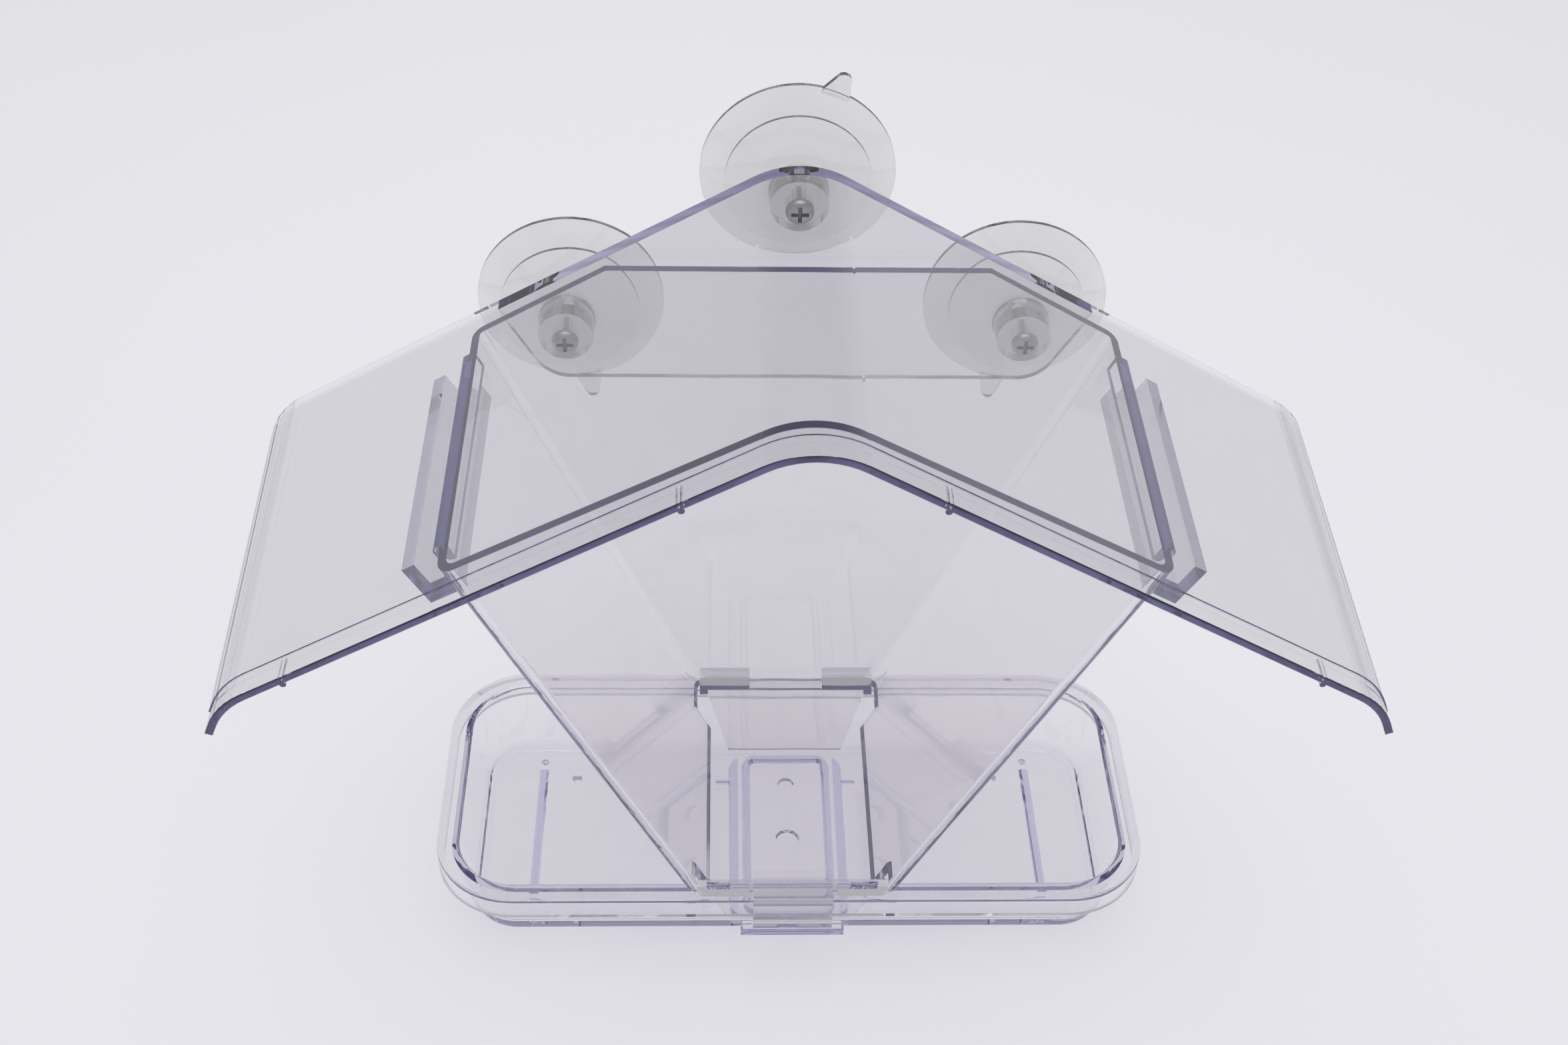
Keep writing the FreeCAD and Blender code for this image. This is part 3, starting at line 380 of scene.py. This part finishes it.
def dressed(node, name, material):
    """A copy of a CAD node as one closed skin, smooth within each face and crisp where two meet."""
    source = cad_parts[node]
    bpy.ops.object.select_all(action="DESELECT")
    source.select_set(True)
    bpy.context.view_layer.objects.active = source
    bpy.ops.object.duplicate()
    piece = bpy.context.object
    piece.name = name
    piece.data.name = name
    bpy.ops.object.mode_set(mode="EDIT")
    bpy.ops.mesh.select_mode(type="EDGE")
    bpy.ops.mesh.select_all(action="DESELECT")
    bpy.ops.mesh.select_non_manifold()
    bpy.ops.mesh.mark_sharp()
    bpy.ops.mesh.select_all(action="SELECT")
    bpy.ops.mesh.remove_doubles(threshold=MERGE)
    bpy.ops.mesh.customdata_custom_splitnormals_clear()
    bpy.ops.mesh.faces_shade_smooth()
    bpy.ops.object.mode_set(mode="OBJECT")
    piece.data.materials.clear()
    piece.data.materials.append(material)
    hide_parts(node)
    return piece


def paint_recess_shade(screw, material):
    """Gives the faces of a screw's cross recess a darker zinc: painted shade."""
    screw.data.materials.append(material)
    corners = [vertex.co for vertex in screw.data.vertices]
    axis = Vector((sum(co.x for co in corners), 0.0, sum(co.z for co in corners))) / len(corners)
    for face in screw.data.polygons:
        depth = face.center.y - HEAD_FRONT
        reach = math.hypot(face.center.x - axis.x, face.center.z - axis.z)
        if RECESS_EDGE < depth < RECESS_DEPTH and reach < RECESS_REACH:
            face.material_index = RECESS_SLOT


def studio():
    """The floor, the lamp, the world and the camera."""
    bpy.ops.object.select_all(action="DESELECT")
    bpy.ops.mesh.primitive_plane_add(size=FLOOR_SPAN, location=(0.0, 0.0, -FLOOR_GAP))
    floor = bpy.context.object
    floor.name = "floor"
    floor.data.materials.append(floor_finish())
    lamp = bpy.data.lights.new("softbox", "AREA")
    lamp.shape = "SQUARE"
    lamp.size = LAMP_SPAN
    lamp.energy = LAMP_POWER
    box = bpy.data.objects.new("softbox", lamp)
    box.location = LAMP_PLACE
    box.rotation_euler = (LAMP_AIM - LAMP_PLACE).to_track_quat("-Z", "Y").to_euler()
    box.visible_transmission = False
    bpy.context.scene.collection.objects.link(box)
    world = bpy.data.worlds.new("studio")
    bpy.context.scene.world = world
    room = Finish(world)
    ray = room.node("ShaderNodeTexCoord").outputs["Generated"]
    rise = room.number("ShaderNodeSeparateXYZ", "Z", None, {"Vector": ray})
    sky = room.mixed(room.ramp(rise, HORIZON_TOP, CEILING_LOW), HORIZON_PALE, CEILING_GREY)
    backdrop = room.node("ShaderNodeBackground", None, {"Color": sky})
    room.node("ShaderNodeOutputWorld", None, {"Surface": backdrop.outputs["Background"]})
    ahead = Vector((math.sin(CAMERA_YAW) * math.cos(CAMERA_PITCH),
                    math.cos(CAMERA_YAW) * math.cos(CAMERA_PITCH),
                    -math.sin(CAMERA_PITCH)))
    level = Vector((math.cos(CAMERA_YAW), -math.sin(CAMERA_YAW), 0.0))
    down = ahead.cross(level)
    right = math.cos(CAMERA_ROLL) * level + math.sin(CAMERA_ROLL) * down
    up = math.sin(CAMERA_ROLL) * level - math.cos(CAMERA_ROLL) * down
    view = bpy.data.cameras.new("photo_view")
    view.sensor_fit = "HORIZONTAL"
    view.sensor_width = SENSOR_WIDTH
    view.lens = CAMERA_LENS
    camera = bpy.data.objects.new("photo_view", view)
    turn = Matrix((right, up, -ahead)).transposed()
    camera.matrix_world = Matrix.Translation(CAMERA_PLACE) @ turn.to_4x4()
    bpy.context.scene.collection.objects.link(camera)
    bpy.context.scene.camera = camera
    cycles = bpy.context.scene.cycles
    cycles.max_bounces = LIGHT_BOUNCES
    cycles.transmission_bounces = LIGHT_BOUNCES
    cycles.transparent_max_bounces = LIGHT_BOUNCES
    cycles.glossy_bounces = LIGHT_BOUNCES
    cycles.caustics_refractive = False
    cycles.caustics_reflective = False
    bpy.context.scene.view_settings.view_transform = "Standard"


# The roof's back plate gets painted light.
roof_plastic = clear_finish(
    "roof_plastic",
    colour=(0.83, 0.825, 0.83, 1.0),
    tint=(0.5, 0.4925, 0.68, 1.0),
    depth=36.0,
    shade=(0.99, 0.99, 0.99, 1.0),
    zones=((plate_light_zone, PLATE_PAINTED_LIGHT),))
# The hopper's side walls get painted light; its top edge and its pull get painted shade.
hopper_plastic = clear_finish(
    "hopper_plastic",
    colour=(0.91, 0.905, 0.908, 1.0),
    tint=(0.5, 0.477, 0.70, 1.0),
    depth=23.0,
    shade=(0.99, 0.99, 0.989, 1.0),
    zones=((side_light_zone, SIDE_PAINTED_LIGHT), (edge_shade_zone, EDGE_PAINTED_SHADE), (pull_shade_zone, PULL_PAINTED_SHADE)))
# The tray's relief gets violet painted shade.
tray_plastic = clear_finish(
    "tray_plastic",
    colour=(0.985, 0.977, 0.983, 1.0),
    tint=(0.5, 0.48, 0.69, 1.0),
    depth=21.0,
    shade=(0.974, 0.973, 0.969, 1.0),
    zones=((relief_shade_zone, RELIEF_PAINTED_SHADE),))
vinyl = clear_finish(
    "soft_vinyl",
    colour=(0.89, 0.89, 0.88, 1.0),
    tint=(0.6, 0.6, 0.585, 1.0),
    depth=70.0,
    shade=(0.97, 0.97, 0.969, 1.0),
    bending=1.53,
    gloss=0.02,
    waviness=0.10)
zinc = zinc_finish("zinc_steel", (0.56, 0.565, 0.58, 1.0), (0.38, 0.385, 0.40, 1.0))
# Darker zinc for the screws' cross recesses: painted shade.
recess_shade_zinc = zinc_finish("zinc_recess_painted_shade", (0.16, 0.17, 0.18, 1.0), (0.08, 0.085, 0.09, 1.0))

roof = dressed("roof", "gable_roof", roof_plastic)
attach(roof, "canopy")
hopper = dressed("seed_hopper", "hopper", hopper_plastic)
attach(hopper, "hopper")
tray = dressed("seed_tray", "tray", tray_plastic)
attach(tray, "tray")
for side in ("top", "left", "right"):
    cup = dressed("suction_cup_" + side, "cup_" + side, vinyl)
    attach(cup, "cup_" + side)
    screw = dressed("cup_screw_" + side, "screw_" + side, zinc)
    paint_recess_shade(screw, recess_shade_zinc)
    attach(screw, "canopy")
studio()
